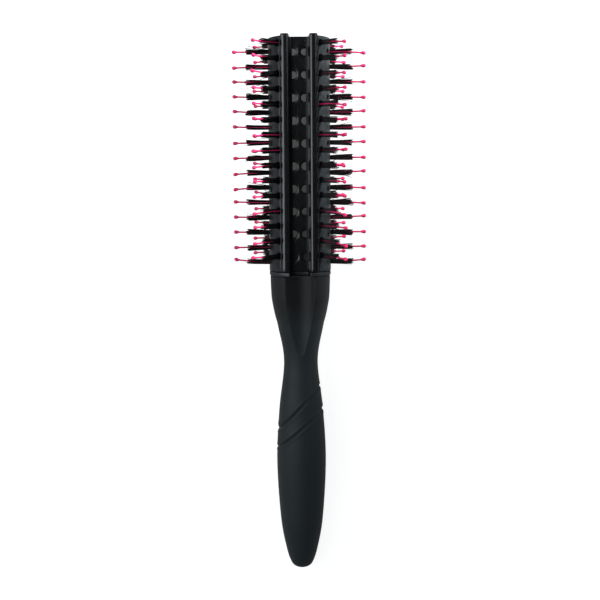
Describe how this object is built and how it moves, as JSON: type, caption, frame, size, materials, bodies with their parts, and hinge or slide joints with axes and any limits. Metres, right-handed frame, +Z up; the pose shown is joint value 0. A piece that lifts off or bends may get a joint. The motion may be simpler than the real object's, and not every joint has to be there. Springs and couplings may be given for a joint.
{
  "type": "vented round styling brush",
  "caption": "Round blow-dry brush with a vented, channelled barrel, rows of black bristle tufts with ball-tipped pins, and a waisted soft grip.",
  "frame": {"origin": "on the surface that the brush lies on, under the middle of its bounding box", "axes": "+Z up out of the front channel; the long axis lies along Y with the barrel towards +Y, raised about 6.3 degrees because the brush rests on its lowest pins and the belly of its grip"},
  "size_m": [0.0626, 0.254, 0.0571],
  "materials": {
    "soft_grip": "soft-touch matte",
    "black_plastic": "moulded",
    "collar_plastic": "satin",
    "gloss_black": "gloss",
    "flank_plastic": "fine satin grain",
    "bristle": "satin fibre",
    "pin_nylon": "smooth moulded"
  },
  "bodies": {
    "root": {"grip_sleeve": "soft_grip", "handle_core": "black_plastic", "collar_ring": "collar_plastic", "front_channel": "gloss_black", "rear_channel": "gloss_black", "spine_web": "black_plastic", "end_plug": "black_plastic", "left_flank": "flank_plastic", "right_flank": "flank_plastic", "bristle_strip_right_front": "bristle", "bristle_strip_right_middle": "bristle", "bristle_strip_right_rear": "bristle", "bristle_strip_left_front": "bristle", "bristle_strip_left_middle": "bristle", "bristle_strip_left_rear": "bristle", "pin_strip_right_front": "pin_nylon", "pin_strip_right_middle": "pin_nylon", "pin_strip_right_rear": "pin_nylon", "pin_strip_left_front": "pin_nylon", "pin_strip_left_middle": "pin_nylon", "pin_strip_left_rear": "pin_nylon"}
  },
  "joints": []
}
